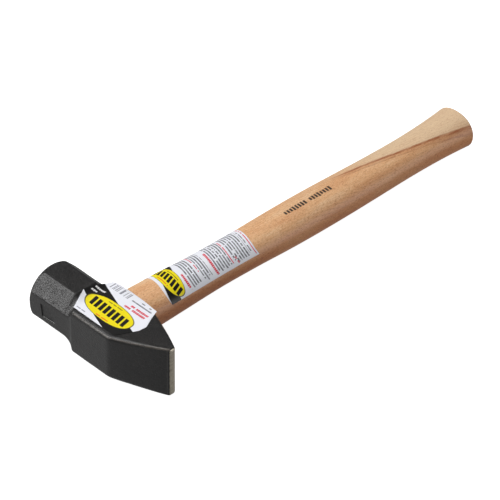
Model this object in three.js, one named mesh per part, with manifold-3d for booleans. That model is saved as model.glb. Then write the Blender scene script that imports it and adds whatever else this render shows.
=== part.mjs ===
// Cross-peen hammer, 3 lb head on a 16 in hickory handle.
//
// Hammer axes (millimetres), before the final placement:
//   +X  along the handle, from the head towards the butt (x = 0 is the middle of the eye)
//   +Y  towards the striking face, -Y towards the peen
//   +Z  out of the upper cheek, the one that carries the label
// The finished part is placed with its origin at the middle of its bounding box, on the bottom.
import * as THREE from 'three';
import { mergeVertices } from 'three/addons/utils/BufferGeometryUtils.js';
import Module from 'manifold-3d';

const wasm = await Module();
wasm.setup();

// ---------------------------------------------------------------- driving dimensions
const OVERALL_LENGTH = 406.4;        // top of the head to the end of the butt, 16 in
const HEAD_HALF_X = 23.5;            // half the depth of the middle block, along the handle
const CHEEK_TOP_Z = 18.5;            // upper cheek of the middle block, above the handle's axis
const CHEEK_LOW_Z = 21.5;            // lower cheek, below the handle's axis
const BLOCK_Y_POLL = 18.4;           // where the block starts to turn into the neck
const BLOCK_Y_PEEN = -22.8;          // where the block turns into the peen
const BLOCK_CORNER = 1.8;            // bevel along the block's long corners
const NECK_Y = 27.6;                 // where the transition ends and the octagon begins
const POLL_HALF_X = 22.7;            // half across flats of the octagon, along the handle
const NECK_HALF_Z = 22.9;            // half across flats at the neck, cheek to cheek
const FACE_HALF_Z = 23.1;            // and towards the striking end
const FULL_Y = 61.8;                 // where the octagon is at its thickest
const OCT_FLAT = 10.4;               // half the width of each octagon flat
const FACE_Y = 67.4;                 // striking face
// the turned rounding that runs from the octagon on to the striking face: [radius, y]
const TURNED_END = [[26.3, 58.0], [25.75, 60.5], [25.25, 62.2], [24.75, 63.8], [24.1, 65.0], [23.2, 66.0], [22.2, 66.8], [21.0, FACE_Y]];
const TURNED_SEGMENTS = 48;
const PEEN_Y = -68.6;                // end of the peen
const PEEN_HALF_X = 2.35;            // half thickness of the peen edge
const PEEN_TOP_Z = 21.8, PEEN_LOW_Z = 23.1;   // how far the peen edge reaches above and below the handle's axis
const PEEN_BULGE = 1.1;              // how far the peen's two long faces are rounded out between edge and block
const PEEN_ROUND = 1.3;              // rounding of the peen edge
const EYE_HALF_Y = [15.6, 14.6, 15.4];  // oval eye: top, waist, underside (half axes)
const EYE_HALF_Z = [11.2, 10.2, 11.0];
const EYE_WAIST_X = 4;               // where the eye is narrowest
const EYE_Y = 1.0;                   // middle of the eye along Y
const FIT_GAP = 0.3;                 // clearance kept between neighbouring pieces
const SEAL_DEPTH = 1.8;              // thickness of the sealing plug
const BUTT_BEVEL = 1.6;              // bevel round the butt
const WEDGE_LENGTH = 30, WEDGE_THICK = 5.0, WEDGE_TIP = 1.0;          // wooden wedge
const STEEL_LENGTH = 19, STEEL_THICK = 3.2, STEEL_TIP = 0.8, STEEL_WIDTH = 13;  // steel wedges
const STEEL_Y = 6.4;                 // steel wedges at plus and minus this
const LABEL_GAP = 0.12, LABEL_THICK = 0.28;
const LABEL_NEAR_X = -18.6, LABEL_FAR_X = 21.0, LABEL_POLL_Y = 30.2, LABEL_PEEN_Y = -33.4;   // head sticker
const WRAP_X0 = 46, WRAP_X1 = 140, WRAP_A0 = 20, WRAP_A1 = 160;   // handle sticker: along the handle, and round it in degrees

const HEAD_TOP_X = -HEAD_HALF_X;
const BUTT_X = OVERALL_LENGTH - HEAD_HALF_X;

// the handle along its length: [x, half width along Y, middle along Y]; the half thickness (along Z) is 0.83 of the
// half width, and the middle wanders a millimetre because the grip is bowed slightly
const HANDLE_STATIONS = [
  [24.3, 17.9, 1.3], [25.2, 18.9, 1.35], [27.5, 19.5, 1.4], [31, 19.6, 1.45], [38, 19.42, 1.5], [46, 19.2, 1.5], [60, 18.75, 1.45],
  [80, 18.02, 1.3], [100, 17.52, 1.15], [120, 17.4, 0.98], [145, 17.72, 0.64], [170, 18.35, 0.24],
  [200, 18.77, -0.1], [230, 18.64, -0.36], [260, 18.1, -0.66], [290, 17.42, -0.78], [315, 17.16, -0.66],
  [340, 17.5, -0.46], [360, 18.36, -0.27], [372, 19.15, -0.12],
  [BUTT_X - BUTT_BEVEL, 19.9, 0.05], [BUTT_X, 19.9 - BUTT_BEVEL, 0.05],
];
const THICKNESS_RATIO = 0.83;
const HANDLE_SEGMENTS = 36;
const HANDLE_POWER = 2.12;           // slightly squarer than an ellipse

// ---------------------------------------------------------------- helpers
// A closed solid from a list of rings (each the same number of points), with flat caps.
function loft(rings) {
  const n = rings[0].length, pos = [], idx = [];
  for (const r of rings) for (const p of r) pos.push(...p);
  for (let i = 0; i + 1 < rings.length; i++) {
    for (let j = 0; j < n; j++) {
      const a = i * n + j, b = i * n + (j + 1) % n, c = a + n, d = b + n;
      idx.push(a, b, d, a, d, c);
    }
  }
  const cap = (ring, base, flip) => {
    const c = [0, 0, 0];
    for (const p of ring) for (let k = 0; k < 3; k++) c[k] += p[k] / n;
    const ci = pos.length / 3;
    pos.push(...c);
    for (let j = 0; j < n; j++) {
      const a = base + j, b = base + (j + 1) % n;
      if (flip) idx.push(ci, b, a); else idx.push(ci, a, b);
    }
  };
  cap(rings[0], 0, true);
  cap(rings[rings.length - 1], (rings.length - 1) * n, false);
  const g = new THREE.BufferGeometry();
  g.setAttribute('position', new THREE.Float32BufferAttribute(pos, 3));
  g.setIndex(idx);
  if (signedVolume(g) < 0) {
    for (let i = 0; i < idx.length; i += 3) { const t = idx[i + 1]; idx[i + 1] = idx[i + 2]; idx[i + 2] = t; }
    g.setIndex(idx);
  }
  return g;
}

function signedVolume(g) {
  const p = g.attributes.position, ix = g.index.array;
  const a = new THREE.Vector3(), b = new THREE.Vector3(), c = new THREE.Vector3();
  let v = 0;
  for (let i = 0; i < ix.length; i += 3) {
    a.fromBufferAttribute(p, ix[i]); b.fromBufferAttribute(p, ix[i + 1]); c.fromBufferAttribute(p, ix[i + 2]);
    v += a.dot(b.cross(c)) / 6;
  }
  return v;
}

// A closed geometry with its faces turned outwards, its shared vertices merged and its empty triangles dropped.
function outward(geometry) {
  let g = geometry.clone();
  g.deleteAttribute('normal');
  g.deleteAttribute('uv');
  g = mergeVertices(g, 1e-4);
  const keep = [], a = g.index.array;
  for (let i = 0; i < a.length; i += 3) {
    if (a[i] !== a[i + 1] && a[i + 1] !== a[i + 2] && a[i] !== a[i + 2]) keep.push(a[i], a[i + 1], a[i + 2]);
  }
  g.setIndex(keep);
  if (signedVolume(g) < 0) {
    for (let i = 0; i < keep.length; i += 3) { const t = keep[i + 1]; keep[i + 1] = keep[i + 2]; keep[i + 2] = t; }
    g.setIndex(keep);
  }
  return g;
}

function toSolid(geometry) {
  let g = geometry.clone();
  g.deleteAttribute('normal');
  g.deleteAttribute('uv');
  g = mergeVertices(g, 1e-5);
  return new wasm.Manifold(new wasm.Mesh({
    numProp: 3,
    vertProperties: new Float32Array(g.attributes.position.array),
    triVerts: new Uint32Array(g.index.array),
  }));
}

function fromSolid(solid) {
  const m = solid.getMesh();
  const g = new THREE.BufferGeometry();
  g.setAttribute('position', new THREE.BufferAttribute(new Float32Array(m.vertProperties), 3));
  g.setIndex(new THREE.BufferAttribute(new Uint32Array(m.triVerts), 1));
  g.computeVertexNormals();
  return g;
}

// Oval ring in the YZ plane at x, about y = middle.
function oval(x, halfY, halfZ, power = 2, middle = EYE_Y, segments = HANDLE_SEGMENTS) {
  const ring = [];
  for (let i = 0; i < segments; i++) {
    const a = (i / segments) * Math.PI * 2, c = Math.cos(a), s = Math.sin(a);
    const k = Math.pow(Math.pow(Math.abs(c), power) + Math.pow(Math.abs(s), power), -1 / power);
    ring.push([x, middle + halfY * k * c, halfZ * k * s]);
  }
  return ring;
}

function lerp(a, b, t) { return a + (b - a) * t; }

// Half axes of the eye at x, shrunk by a gap.
function eyeAt(x, gap) {
  const xt = HEAD_TOP_X, xu = HEAD_HALF_X;
  const [iy, iz] = [EYE_HALF_Y, EYE_HALF_Z];
  const f = (v) => x < EYE_WAIST_X
    ? lerp(v[0], v[1], (x - xt) / (EYE_WAIST_X - xt))
    : lerp(v[1], v[2], (x - EYE_WAIST_X) / (xu - EYE_WAIST_X));
  return [f(iy) - gap, f(iz) - gap];
}

// Section of the head at y: half sizes rx, rz and the half widths of its flats fx (top and bottom), fz (front and back).
// Each of the eight corners carries a small second bevel. The section's middle lies at mid along Z.
function headRing(y, rx, rz, fx, fz, soft = 0.0, mid = 0.0) {
  const corners = [[rx, fz], [fx, rz], [-fx, rz], [-rx, fz], [-rx, -fz], [-fx, -rz], [fx, -rz], [rx, -fz]]
    .map(([x, z]) => [x, z + mid]);
  if (!soft) return corners.map(([x, z]) => [x, y, z]);
  const ring = [];
  corners.forEach(([x, z], i) => {
    const p = corners[(i + 7) % 8], q = corners[(i + 1) % 8];
    for (const o of [p, q]) {
      const dx = o[0] - x, dz = o[1] - z, d = Math.hypot(dx, dz);
      const s = Math.min(soft, d * 0.35);
      ring.push([x + dx / d * s, y, z + dz / d * s]);
    }
  });
  return ring;
}

// ---------------------------------------------------------------- head
function buildHead() {
  const rings = [];
  const soft = 0.9;
  const bx = HEAD_HALF_X, bz = (CHEEK_TOP_Z + CHEEK_LOW_Z) / 2, bm = (CHEEK_TOP_Z - CHEEK_LOW_Z) / 2, c = BLOCK_CORNER;
  // peen, from its edge to the block
  const peen = (t) => {        // t = 0 at the edge, 1 at the block
    const rx = lerp(PEEN_HALF_X, bx, t) + PEEN_BULGE * 4 * t * (1 - t);
    const rz = lerp((PEEN_TOP_Z + PEEN_LOW_Z) / 2, bz, t), mid = lerp((PEEN_TOP_Z - PEEN_LOW_Z) / 2, bm, t);
    const cc = lerp(1.0, c, t);
    return [rx, rz, Math.max(rx - cc, rx * 0.45), rz - cc, mid];
  };
  {
    const [rx, rz, , fz, mid] = peen(0);
    rings.push(headRing(PEEN_Y, rx - PEEN_ROUND, rz - PEEN_ROUND, (rx - PEEN_ROUND) * 0.45, fz - PEEN_ROUND, soft * 0.4, mid));
    rings.push(headRing(PEEN_Y + PEEN_ROUND * 0.4, rx - 0.35, rz - 0.4, rx * 0.45, fz - 0.4, soft * 0.5, mid));
  }
  for (const t of [0.035, 0.25, 0.5, 0.75, 0.96]) {
    const [rx, rz, fx, fz, mid] = peen(t);
    rings.push(headRing(lerp(PEEN_Y, BLOCK_Y_PEEN, t), rx, rz, fx, fz, soft, mid));
  }
  rings.push(headRing(BLOCK_Y_PEEN + 1.4, bx, bz, bx - c, bz - c, soft, bm));
  rings.push(headRing(BLOCK_Y_POLL, bx, bz, bx - c, bz - c, soft, bm));
  // hollow transition from the square block up to the octagon
  for (const t of [0.2, 0.4, 0.6, 0.8, 1.0]) {
    const s = t * t * (3 - 2 * t);
    rings.push(headRing(lerp(BLOCK_Y_POLL, NECK_Y, t), lerp(bx, POLL_HALF_X, s), lerp(bz, NECK_HALF_Z, s),
      lerp(bx - c, OCT_FLAT, Math.pow(t, 0.8)), lerp(bz - c, OCT_FLAT, Math.pow(t, 0.8)), soft, lerp(bm, 0, s)));
  }
  rings.push(headRing(FULL_Y, POLL_HALF_X, FACE_HALF_Z, OCT_FLAT, OCT_FLAT, soft));
  rings.push(headRing(FACE_Y + 3, POLL_HALF_X, FACE_HALF_Z, OCT_FLAT, OCT_FLAT, soft));
  // turned about the Y axis at the striking end
  const outline = [[0, PEEN_Y - 10], [60, PEEN_Y - 10], [60, 45], ...TURNED_END, [0, FACE_Y]].map(([r, y]) => new THREE.Vector2(r, y));
  const turned = toSolid(outward(new THREE.LatheGeometry(outline, TURNED_SEGMENTS)));
  const body = toSolid(loft(rings)).intersect(turned);
  // eye: oval, narrowest near the middle
  const eye = [HEAD_TOP_X - 2, HEAD_TOP_X, EYE_WAIST_X, HEAD_HALF_X, HEAD_HALF_X + 2].map((x) => {
    const [hy, hz] = eyeAt(Math.min(Math.max(x, HEAD_TOP_X), HEAD_HALF_X), 0);
    return oval(x, hy, hz);
  });
  return fromSolid(body.subtract(toSolid(loft(eye))));
}

// ---------------------------------------------------------------- handle, wedges and seal
const TENON_TOP_X = HEAD_TOP_X + SEAL_DEPTH + FIT_GAP;

// A wedge: a four-sided solid tapering along +X, spanning spanY x spanZ at its two ends.
function taper(x0, x1, a0, b0, a1, b1, y = 0) {
  const m = EYE_Y + y;
  const rect = (x, a, b) => [[x, m + a, b], [x, m - a, b], [x, m - a, -b], [x, m + a, -b]];
  return loft([rect(x0, a0, b0), rect(x1, a1, b1)]);
}

// wooden wedge: a taper in Z as long as the eye in Y, trimmed to the oval of the tenon
function woodWedgeBlank(grow) {
  return taper(TENON_TOP_X - (grow ? 1 : 0), TENON_TOP_X + WEDGE_LENGTH + grow * 2, 30, WEDGE_THICK / 2 + grow,
    30, WEDGE_TIP / 2 + grow);
}
function steelWedgeBlank(y, grow) {
  return taper(TENON_TOP_X - (grow ? 1 : 0), TENON_TOP_X + STEEL_LENGTH + grow * 2,
    STEEL_THICK / 2 + grow, STEEL_WIDTH / 2 + grow, STEEL_TIP / 2 + grow, STEEL_WIDTH / 2 - 1.2 + grow, y);
}

// the tenon keeps the eye's plain oval; the grip has the squarer one
function buildHandle() {
  const rings = [];
  for (const x of [TENON_TOP_X, EYE_WAIST_X, HEAD_HALF_X + 0.4]) {
    const [hy, hz] = eyeAt(Math.min(x, HEAD_HALF_X), FIT_GAP);
    rings.push(oval(x, hy, hz));
  }
  for (const [x, hy, middle] of HANDLE_STATIONS) {
    const cut = x === BUTT_X ? BUTT_BEVEL : 0;
    rings.push(oval(x, hy, (hy + cut) * THICKNESS_RATIO - cut, HANDLE_POWER, middle));
  }
  let solid = toSolid(loft(rings));
  solid = solid.subtract(toSolid(woodWedgeBlank(FIT_GAP)));
  for (const y of [STEEL_Y, -STEEL_Y]) solid = solid.subtract(toSolid(steelWedgeBlank(y, FIT_GAP)));
  return fromSolid(solid);
}

function buildWoodWedge() {
  const trim = [TENON_TOP_X - 1, EYE_WAIST_X, HEAD_HALF_X].map((x) => {
    const [hy, hz] = eyeAt(Math.max(x, HEAD_TOP_X), FIT_GAP);
    return oval(x, hy - 0.2, hz - 0.2);
  });
  let solid = toSolid(woodWedgeBlank(0)).intersect(toSolid(loft(trim)));
  for (const y of [STEEL_Y, -STEEL_Y]) solid = solid.subtract(toSolid(steelWedgeBlank(y, FIT_GAP)));
  return fromSolid(solid);
}

function buildSteelWedge(y) {
  return fromSolid(toSolid(steelWedgeBlank(y, 0)));
}

function buildSeal() {
  const rings = [HEAD_TOP_X, HEAD_TOP_X + SEAL_DEPTH].map((x) => {
    const [hy, hz] = eyeAt(x, FIT_GAP);
    return oval(x, hy, hz);
  });
  return loft(rings);
}

// ---------------------------------------------------------------- labels
// Six-sided sticker on the upper cheek, pointed towards the striking face and towards the peen. It follows the cheek
// along Y: flat on the block, rising with the neck at one end and with the peen at the other.
function buildHeadLabel() {
  const near = LABEL_NEAR_X, far = LABEL_FAR_X;
  const xs = (y) => {
    if (y > 20.2) { const t = (y - 20.2) / (LABEL_POLL_Y + 0.5 - 20.2); return [lerp(near, 1, t), lerp(far, 1.4, t)]; }
    if (y < -25.2) { const t = (-25.2 - y) / (-25.2 - LABEL_PEEN_Y + 0.6); return [lerp(near, 4.6, t), lerp(far, 5.0, t)]; }
    return [near, far];
  };
  const zTop = (y) => {
    if (y > BLOCK_Y_POLL) {
      const t = Math.min((y - BLOCK_Y_POLL) / (NECK_Y - BLOCK_Y_POLL), 1), s = t * t * (3 - 2 * t);
      const past = Math.max(y - NECK_Y, 0) / (FULL_Y - NECK_Y);
      return lerp(CHEEK_TOP_Z, NECK_HALF_Z, s) + past * (FACE_HALF_Z - NECK_HALF_Z);
    }
    if (y < BLOCK_Y_PEEN + 1.4) return lerp(PEEN_TOP_Z, CHEEK_TOP_Z, Math.min((y - PEEN_Y) / (BLOCK_Y_PEEN - PEEN_Y), 1));
    return CHEEK_TOP_Z;
  };
  const neck = [0, 0.2, 0.4, 0.6, 0.8, 1].map((t) => lerp(BLOCK_Y_POLL, NECK_Y, t));
  const stations = [LABEL_PEEN_Y, lerp(PEEN_Y, BLOCK_Y_PEEN, 0.96), BLOCK_Y_PEEN + 1.4, ...neck, LABEL_POLL_Y];
  return loft(stations.map((y) => {
    const [a, b] = xs(y), z = zTop(y) + LABEL_GAP;
    return [[a, y, z], [b, y, z], [b, y, z + LABEL_THICK], [a, y, z + LABEL_THICK]];
  }));
}

// Sticker wrapped over the top of the handle.
function buildHandleLabel() {
  const at = (x, column) => {
    const s = HANDLE_STATIONS;
    let i = 0;
    while (x > s[i + 1][0]) i++;
    return lerp(s[i][column], s[i + 1][column], (x - s[i][0]) / (s[i + 1][0] - s[i][0]));
  };
  const xs = [WRAP_X0, 60, 80, 100, 120, WRAP_X1];
  const step = 360 / HANDLE_SEGMENTS;
  const angles = [];
  for (let a = WRAP_A0; a <= WRAP_A1 + 1e-6; a += step) angles.push(a);
  const arc = (x, lift) => angles.map((deg) => {
    const a = deg * Math.PI / 180, c = Math.cos(a), s = Math.sin(a);
    const k = Math.pow(Math.pow(Math.abs(c), HANDLE_POWER) + Math.pow(Math.abs(s), HANDLE_POWER), -1 / HANDLE_POWER);
    const hy = at(x, 1), hz = hy * THICKNESS_RATIO;
    return [x, at(x, 2) + (hy + lift) * k * c, (hz + lift) * k * s];
  });
  const rings = xs.map((x) => [...arc(x, LABEL_GAP), ...arc(x, LABEL_GAP + LABEL_THICK).reverse()]);
  // caps here are thin bands, so they are built as strips instead of fans
  const n = rings[0].length, m = angles.length, pos = [], idx = [];
  for (const r of rings) for (const p of r) pos.push(...p);
  for (let i = 0; i + 1 < rings.length; i++) {
    for (let j = 0; j < n; j++) {
      const a = i * n + j, b = i * n + (j + 1) % n, c = a + n, d = b + n;
      idx.push(a, b, d, a, d, c);
    }
  }
  const strip = (base, flip) => {
    for (let j = 0; j + 1 < m; j++) {
      const a = base + j, b = base + j + 1, c = base + n - 1 - j, d = base + n - 2 - j;
      if (flip) idx.push(a, d, b, a, c, d); else idx.push(a, b, d, a, d, c);
    }
  };
  strip(0, true);
  strip((rings.length - 1) * n, false);
  const g = new THREE.BufferGeometry();
  g.setAttribute('position', new THREE.Float32BufferAttribute(pos, 3));
  g.setIndex(idx);
  if (signedVolume(g) < 0) {
    for (let i = 0; i < idx.length; i += 3) { const t = idx[i + 1]; idx[i + 1] = idx[i + 2]; idx[i + 2] = t; }
    g.setIndex(idx);
  }
  return g;
}

// ---------------------------------------------------------------- assembly
const material = (color, roughness, metalness) => new THREE.MeshStandardMaterial({ color, roughness, metalness });
const forged = material(0x2b2a2a, 0.55, 0.6);
const hickory = material(0xc9955f, 0.5, 0.0);
const hardwood = material(0xb98d5c, 0.7, 0.0);
const steel = material(0x8b8d90, 0.35, 1.0);
const sealer = material(0x232222, 0.6, 0.0);
const paperHead = material(0xe9e4da, 0.45, 0.0);
const paperHandle = material(0xe4e2e6, 0.45, 0.0);

const hammer = new THREE.Group();
function add(name, geometry, mat) {
  const g = geometry.index ? geometry : mergeVertices(geometry);
  if (!g.attributes.normal) g.computeVertexNormals();
  const mesh = new THREE.Mesh(g, mat);
  mesh.name = name;
  hammer.add(mesh);
}
add('head', buildHead(), forged);
add('handle', buildHandle(), hickory);
add('wood_wedge', buildWoodWedge(), hardwood);
add('steel_wedge_1', buildSteelWedge(STEEL_Y), steel);
add('steel_wedge_2', buildSteelWedge(-STEEL_Y), steel.clone());
add('eye_seal', buildSeal(), sealer);
add('head_label', buildHeadLabel(), paperHead);
add('handle_label', buildHandleLabel(), paperHandle);

// origin at the middle of the bounding box, on its bottom
hammer.position.set(-(HEAD_TOP_X + BUTT_X) / 2, -(PEEN_Y + FACE_Y) / 2, FACE_HALF_Z);
const part = new THREE.Group();
part.add(hammer);
export default part;
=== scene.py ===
import bpy, bmesh, math
import numpy as np
from mathutils import Vector, Matrix, noise
from mathutils.bvhtree import BVHTree


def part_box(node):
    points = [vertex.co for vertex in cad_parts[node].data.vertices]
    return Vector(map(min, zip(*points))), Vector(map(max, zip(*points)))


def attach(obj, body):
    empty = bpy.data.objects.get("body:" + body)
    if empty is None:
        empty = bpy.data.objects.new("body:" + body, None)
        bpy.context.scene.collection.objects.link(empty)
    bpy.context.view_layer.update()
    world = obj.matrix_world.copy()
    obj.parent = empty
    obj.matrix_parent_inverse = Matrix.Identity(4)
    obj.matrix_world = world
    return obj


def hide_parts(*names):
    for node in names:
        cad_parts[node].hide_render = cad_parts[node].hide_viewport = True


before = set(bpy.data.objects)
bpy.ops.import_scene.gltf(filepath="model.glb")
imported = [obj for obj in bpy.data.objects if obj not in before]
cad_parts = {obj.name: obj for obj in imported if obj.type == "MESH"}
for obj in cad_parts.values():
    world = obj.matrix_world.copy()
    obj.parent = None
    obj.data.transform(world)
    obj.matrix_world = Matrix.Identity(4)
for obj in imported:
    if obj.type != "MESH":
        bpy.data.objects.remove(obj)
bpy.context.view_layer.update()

# ---------------------------------------------------------------------------------------------
# Hammer axes, in millimetres: +X along the handle (0 = middle of the eye), +Y to the striking
# face, +Z out of the labelled cheek.  mm() turns them into the row frame, in metres.
# ---------------------------------------------------------------------------------------------
lo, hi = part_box("head")
OX = lo.x * 1000 + 23.5
OY = hi.y * 1000 - 67.4
OZ = (lo.z + hi.z) * 500
HANDLE_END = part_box("handle")[1].x * 1000 - OX


def mm(x, y, z):
    return ((x + OX) / 1000.0, (y + OY) / 1000.0, (z + OZ) / 1000.0)


def new_object(name, verts, faces, smooth=True):
    me = bpy.data.meshes.new(name)
    me.from_pydata([tuple(v) for v in verts], [], faces)
    me.update()
    bm = bmesh.new()
    bm.from_mesh(me)
    bmesh.ops.recalc_face_normals(bm, faces=bm.faces)
    bm.to_mesh(me)
    bm.free()
    if smooth:
        me.shade_smooth()
    ob = bpy.data.objects.new(name, me)
    bpy.context.scene.collection.objects.link(ob)
    return ob


def skin(rings, cap_start="fan", cap_end="fan"):
    """Closed skin over rings of points, with each end closed by a fan."""
    n = len(rings[0])
    verts = [p for r in rings for p in r]
    faces = []
    for i in range(len(rings) - 1):
        for j in range(n):
            a, b = i * n + j, i * n + (j + 1) % n
            faces.append((a, b, b + n, a + n))
    for which, base in ((cap_start, 0), (cap_end, (len(rings) - 1) * n)):
        ring = [verts[base + j] for j in range(n)]
        c = tuple(sum(p[k] for p in ring) / n for k in range(3))
        ci = len(verts)
        verts.append(c)
        for j in range(n):
            faces.append((ci, base + j, base + (j + 1) % n))
    return verts, faces


# ---------------------------------------------------------------------------------------------
# camera (made first) and light
# ---------------------------------------------------------------------------------------------
AZ, EL, ROLL, DIST, FPX, TX, TY = (math.radians(-44.862), math.radians(37.807), math.radians(1.07),
                                   2291.086, 2943.757, -2.82, -4.034)
back = Vector((math.sin(AZ) * math.cos(EL), -math.cos(AZ) * math.cos(EL), math.sin(EL)))
right0 = Vector((math.cos(AZ), math.sin(AZ), 0))
up0 = back.cross(right0)
right = right0 * math.cos(ROLL) + up0 * math.sin(ROLL)
up = up0 * math.cos(ROLL) - right0 * math.sin(ROLL)
eye_mm = Vector((150, 0, 0)) + back * DIST + right * TX + up * TY
cam_data = bpy.data.cameras.new("camera")
cam_data.sensor_width = 36
cam_data.lens = FPX / 500 * 36
cam_data.clip_start, cam_data.clip_end = 0.05, 50
cam = bpy.data.objects.new("camera", cam_data)
cam.matrix_world = Matrix.Translation(Vector(mm(*eye_mm))) @ Matrix((right, up, back)).transposed().to_4x4()
bpy.context.scene.collection.objects.link(cam)
bpy.context.scene.camera = cam


def area(name, pos, target, size, power, color=(1, 1, 1), size_y=None, spread=180):
    d = bpy.data.lights.new(name, "AREA")
    d.energy = power
    d.color = color
    d.size = size
    if size_y:
        d.shape = "RECTANGLE"
        d.size_y = size_y
    d.spread = math.radians(spread)
    o = bpy.data.objects.new(name, d)
    o.location = pos
    o.rotation_mode = "QUATERNION"
    o.rotation_quaternion = (Vector(target) - Vector(pos)).to_track_quat("-Z", "Y")
    bpy.context.scene.collection.objects.link(o)
    return o


MID = Vector((0.0, 0.0, 0.02))
area("overhead", MID + Vector((-0.28, 0.38, 1.35)), MID, 1.15, 14.0, size_y=1.15)
area("left_box", MID + Vector((-1.34, 1.10, 1.20)), MID + Vector((-0.18, 0, 0)), 0.66, 19.5, size_y=0.66)
area("grip_fill", MID + Vector((0.62, -1.05, 0.10)), MID + Vector((0.14, 0, 0)), 0.7, 4.4, size_y=0.7)
# the room: dim overhead, a little brighter from below, as a pale table throws light back
world = bpy.data.worlds.new("studio")
world.use_nodes = True
wt = world.node_tree
wgeo = wt.nodes.new("ShaderNodeTexCoord")
wsep = wt.nodes.new("ShaderNodeSeparateXYZ")
def wrange(sock, lo_, hi_, t0, t1):
    n = wt.nodes.new("ShaderNodeMapRange")
    n.interpolation_type = "SMOOTHSTEP"
    wt.links.new(sock, n.inputs["Value"])
    for key, val in (("From Min", lo_), ("From Max", hi_), ("To Min", t0), ("To Max", t1)):
        n.inputs[key].default_value = val
    return n.outputs[0]


wt.links.new(wgeo.outputs["Generated"], wsep.inputs[0])
wdot = wt.nodes.new("ShaderNodeVectorMath"); wdot.operation = "DOT_PRODUCT"
wt.links.new(wgeo.outputs["Generated"], wdot.inputs[0])
wdot.inputs[1].default_value = Vector((-0.50, 0.62, -0.60)).normalized()
wsum = wt.nodes.new("ShaderNodeMath"); wsum.operation = "ADD"
wt.links.new(wrange(wsep.outputs[2], -0.25, 0.25, 0.26, 0.17), wsum.inputs[0])
wt.links.new(wrange(wdot.outputs["Value"], 0.35, 0.95, 0.0, 0.34), wsum.inputs[1])
wt.nodes["Background"].inputs[0].default_value = (1.0, 1.0, 1.0, 1)
wt.links.new(wsum.outputs[0], wt.nodes["Background"].inputs[1])
bpy.context.scene.world = world
bpy.context.scene.view_settings.view_transform = "Standard"

# floor: a pale plane through the three points that the hammer rests on
p1 = Vector(mm(10.4, 62.0, -23.15)); p2 = Vector(mm(2.35, -67.2, -23.12)); p3 = Vector(mm(HANDLE_END - 2, 0, -16.6))
nrm = (p2 - p1).cross(p3 - p1).normalized()
if nrm.z < 0:
    nrm = -nrm
fme = bpy.data.meshes.new("floor")
S = 6.0
q = Vector((0, 0, 1)).rotation_difference(nrm).to_matrix()
fme.from_pydata([tuple(p1 + q @ Vector((a, b, 0))) for a, b in ((-S, -S), (S, -S), (S, S), (-S, S))], [], [(0, 1, 2, 3)])
floor = bpy.data.objects.new("floor", fme)
bpy.context.scene.collection.objects.link(floor)
floor.visible_diffuse = False
floor.visible_glossy = False


# ---------------------------------------------------------------------------------------------
# small shader toolkit: arithmetic on sockets
# ---------------------------------------------------------------------------------------------
class Mat:
    def __init__(self, name):
        self.m = bpy.data.materials.new(name)
        self.m.use_nodes = True
        self.t = self.m.node_tree
        self.b = self.t.nodes["Principled BSDF"]
        self._pos = None

    def node(self, kind):
        return self.t.nodes.new(kind)

    def put(self, name, value):
        s = self.b.inputs[name]
        if isinstance(value, (V, C)):
            self.t.links.new(value.s, s)
        else:
            s.default_value = value

    def xyz(self):
        """Hammer coordinates in millimetres as three V."""
        if self._pos is None:
            g = self.node("ShaderNodeTexCoord").outputs["Object"]
            mad = self.node("ShaderNodeVectorMath"); mad.operation = "MULTIPLY_ADD"
            self.t.links.new(g, mad.inputs[0])
            mad.inputs[1].default_value = (1000, 1000, 1000)
            mad.inputs[2].default_value = (-OX, -OY, -OZ)
            sep = self.node("ShaderNodeSeparateXYZ")
            self.t.links.new(mad.outputs[0], sep.inputs[0])
            self._pos = tuple(V(self, sep.outputs[i]) for i in range(3))
        return self._pos

    def uv(self, name):
        """A UV map as two V (the map is in units of 100 mm)."""
        n = self.node("ShaderNodeUVMap"); n.uv_map = name
        sep = self.node("ShaderNodeSeparateXYZ")
        self.t.links.new(n.outputs[0], sep.inputs[0])
        return V(self, sep.outputs[0]) * 100.0, V(self, sep.outputs[1]) * 100.0

    def vec(self, x, y, z):
        n = self.node("ShaderNodeCombineXYZ")
        for i, c in enumerate((x, y, z)):
            if isinstance(c, V):
                self.t.links.new(c.s, n.inputs[i])
            else:
                n.inputs[i].default_value = c
        return n.outputs[0]

    def noise(self, vec, scale=1.0, detail=2.0, rough=0.5, distortion=0.0):
        n = self.node("ShaderNodeTexNoise")
        self.t.links.new(vec, n.inputs["Vector"])
        n.inputs["Scale"].default_value = scale
        n.inputs["Detail"].default_value = detail
        n.inputs["Roughness"].default_value = rough
        n.inputs["Distortion"].default_value = distortion
        return V(self, n.outputs[0])

    def voronoi(self, vec, scale=1.0, feature="F1", randomness=1.0):
        n = self.node("ShaderNodeTexVoronoi")
        n.feature = feature
        self.t.links.new(vec, n.inputs["Vector"])
        n.inputs["Scale"].default_value = scale
        n.inputs["Randomness"].default_value = randomness
        return V(self, n.outputs["Distance"])

    def white(self, vec):
        n = self.node("ShaderNodeTexWhiteNoise")
        n.noise_dimensions = "3D"
        self.t.links.new(vec, n.inputs["Vector"])
        return V(self, n.outputs["Value"])

    def rgb(self, c):
        n = self.node("ShaderNodeRGB")
        n.outputs[0].default_value = (*c, 1)
        return C(self, n.outputs[0])

    def bump(self, height, strength=0.3, distance=0.1, normal=None):
        n = self.node("ShaderNodeBump")
        n.inputs["Strength"].default_value = strength
        n.inputs["Distance"].default_value = distance / 1000.0
        self.t.links.new(height.s, n.inputs["Height"])
        if normal is not None:
            self.t.links.new(normal, n.inputs["Normal"])
        self.t.links.new(n.outputs[0], self.b.inputs["Normal"])
        return n.outputs[0]


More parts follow.
